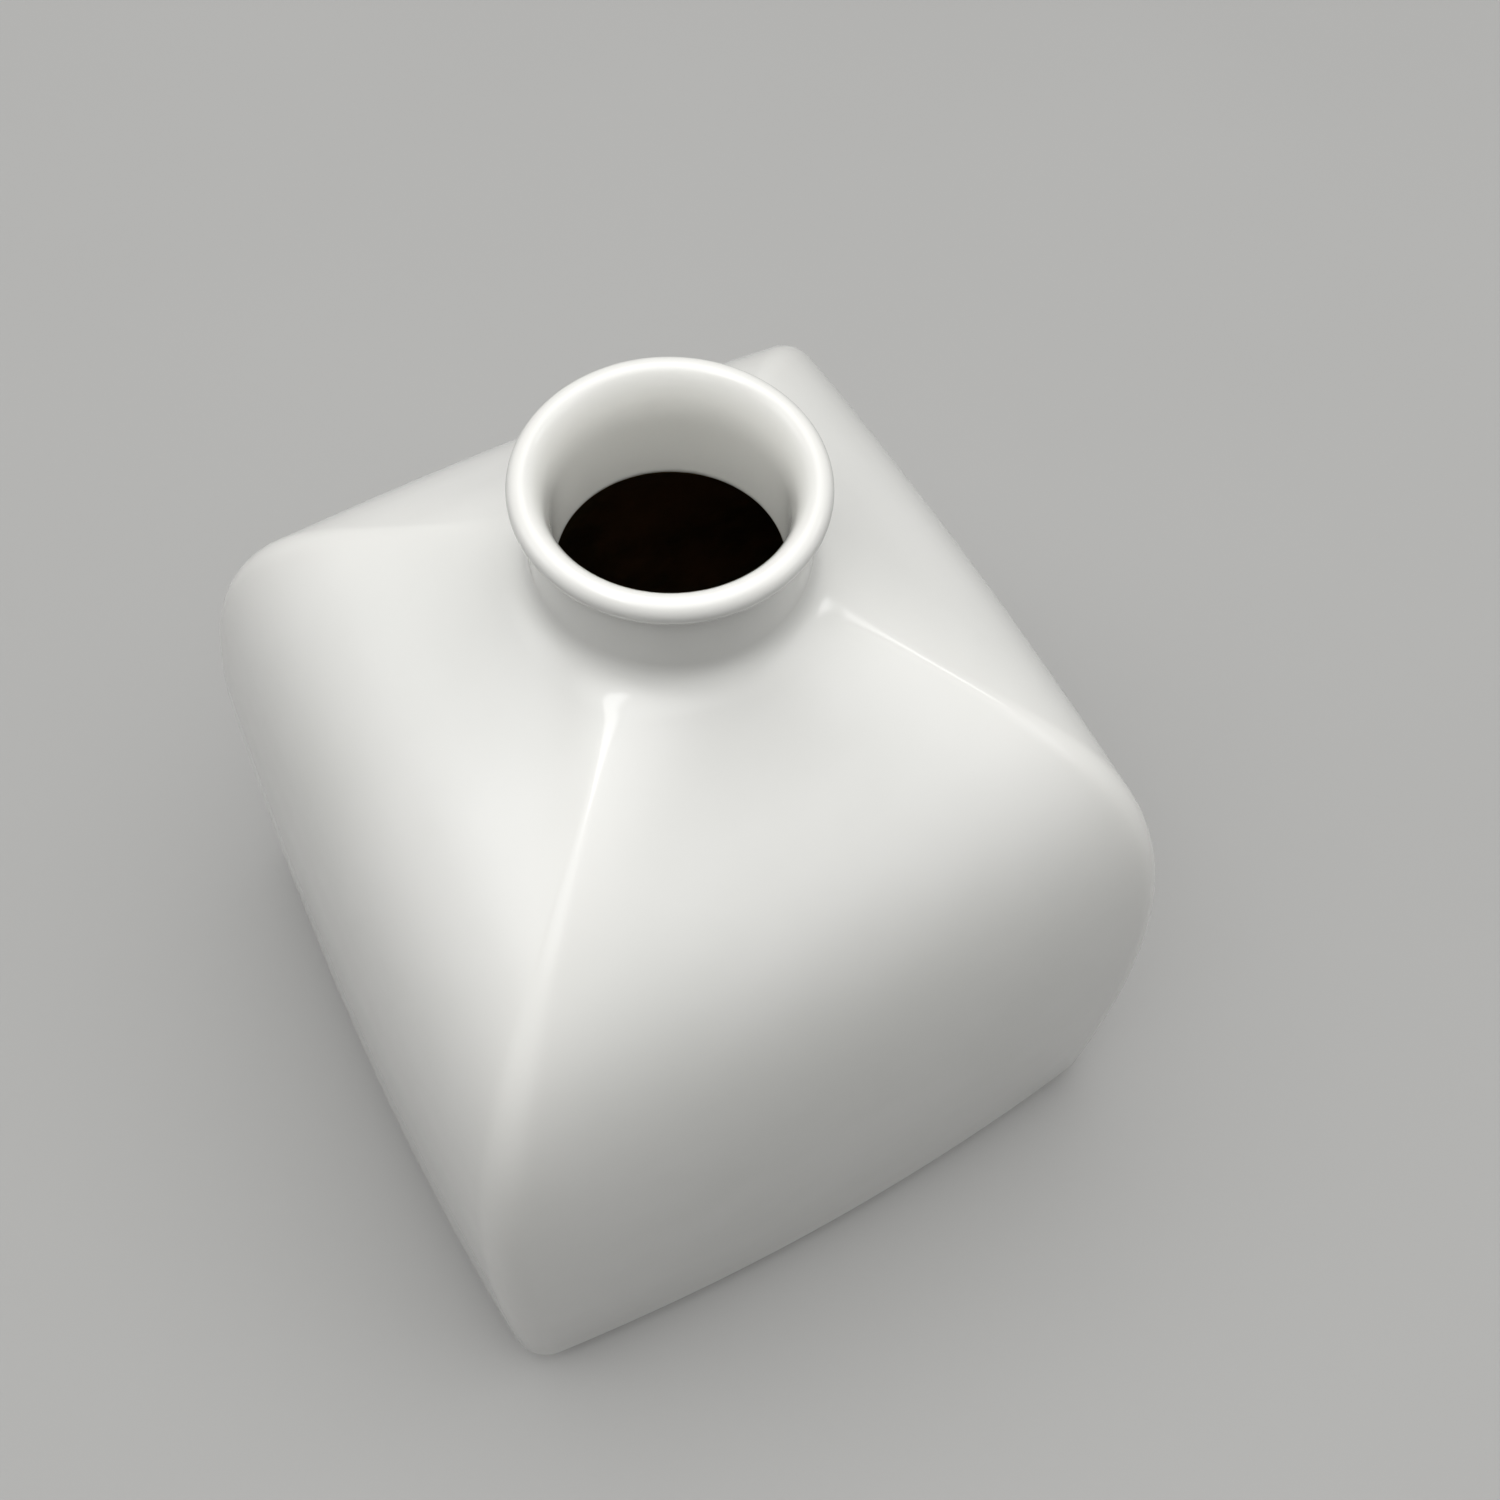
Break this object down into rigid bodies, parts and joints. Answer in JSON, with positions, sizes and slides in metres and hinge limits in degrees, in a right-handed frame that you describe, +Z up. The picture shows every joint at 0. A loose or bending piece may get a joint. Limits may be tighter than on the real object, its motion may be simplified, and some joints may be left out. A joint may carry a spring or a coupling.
{
  "type": "cube vase",
  "caption": "Square glazed porcelain vase: swelling faces, ridges that arch over a domed shoulder, a short round neck with a rolled lip and a bare foot. Holds water and cut stems.",
  "frame": {"origin": "centre of the foot, on the surface that the vase stands on", "axes": "+Z up through the middle of the neck; the faces are square to X and Y, and the ridges lie on the diagonals"},
  "size_m": [0.1, 0.1, 0.12],
  "materials": {
    "white_glaze": "gloss",
    "bare_clay": "matte"
  },
  "bodies": {
    "root": {"lip_ring": "white_glaze", "neck_collar": "white_glaze", "body_shell": "white_glaze", "floor_slab": "white_glaze", "foot_ring": "bare_clay"}
  },
  "joints": []
}
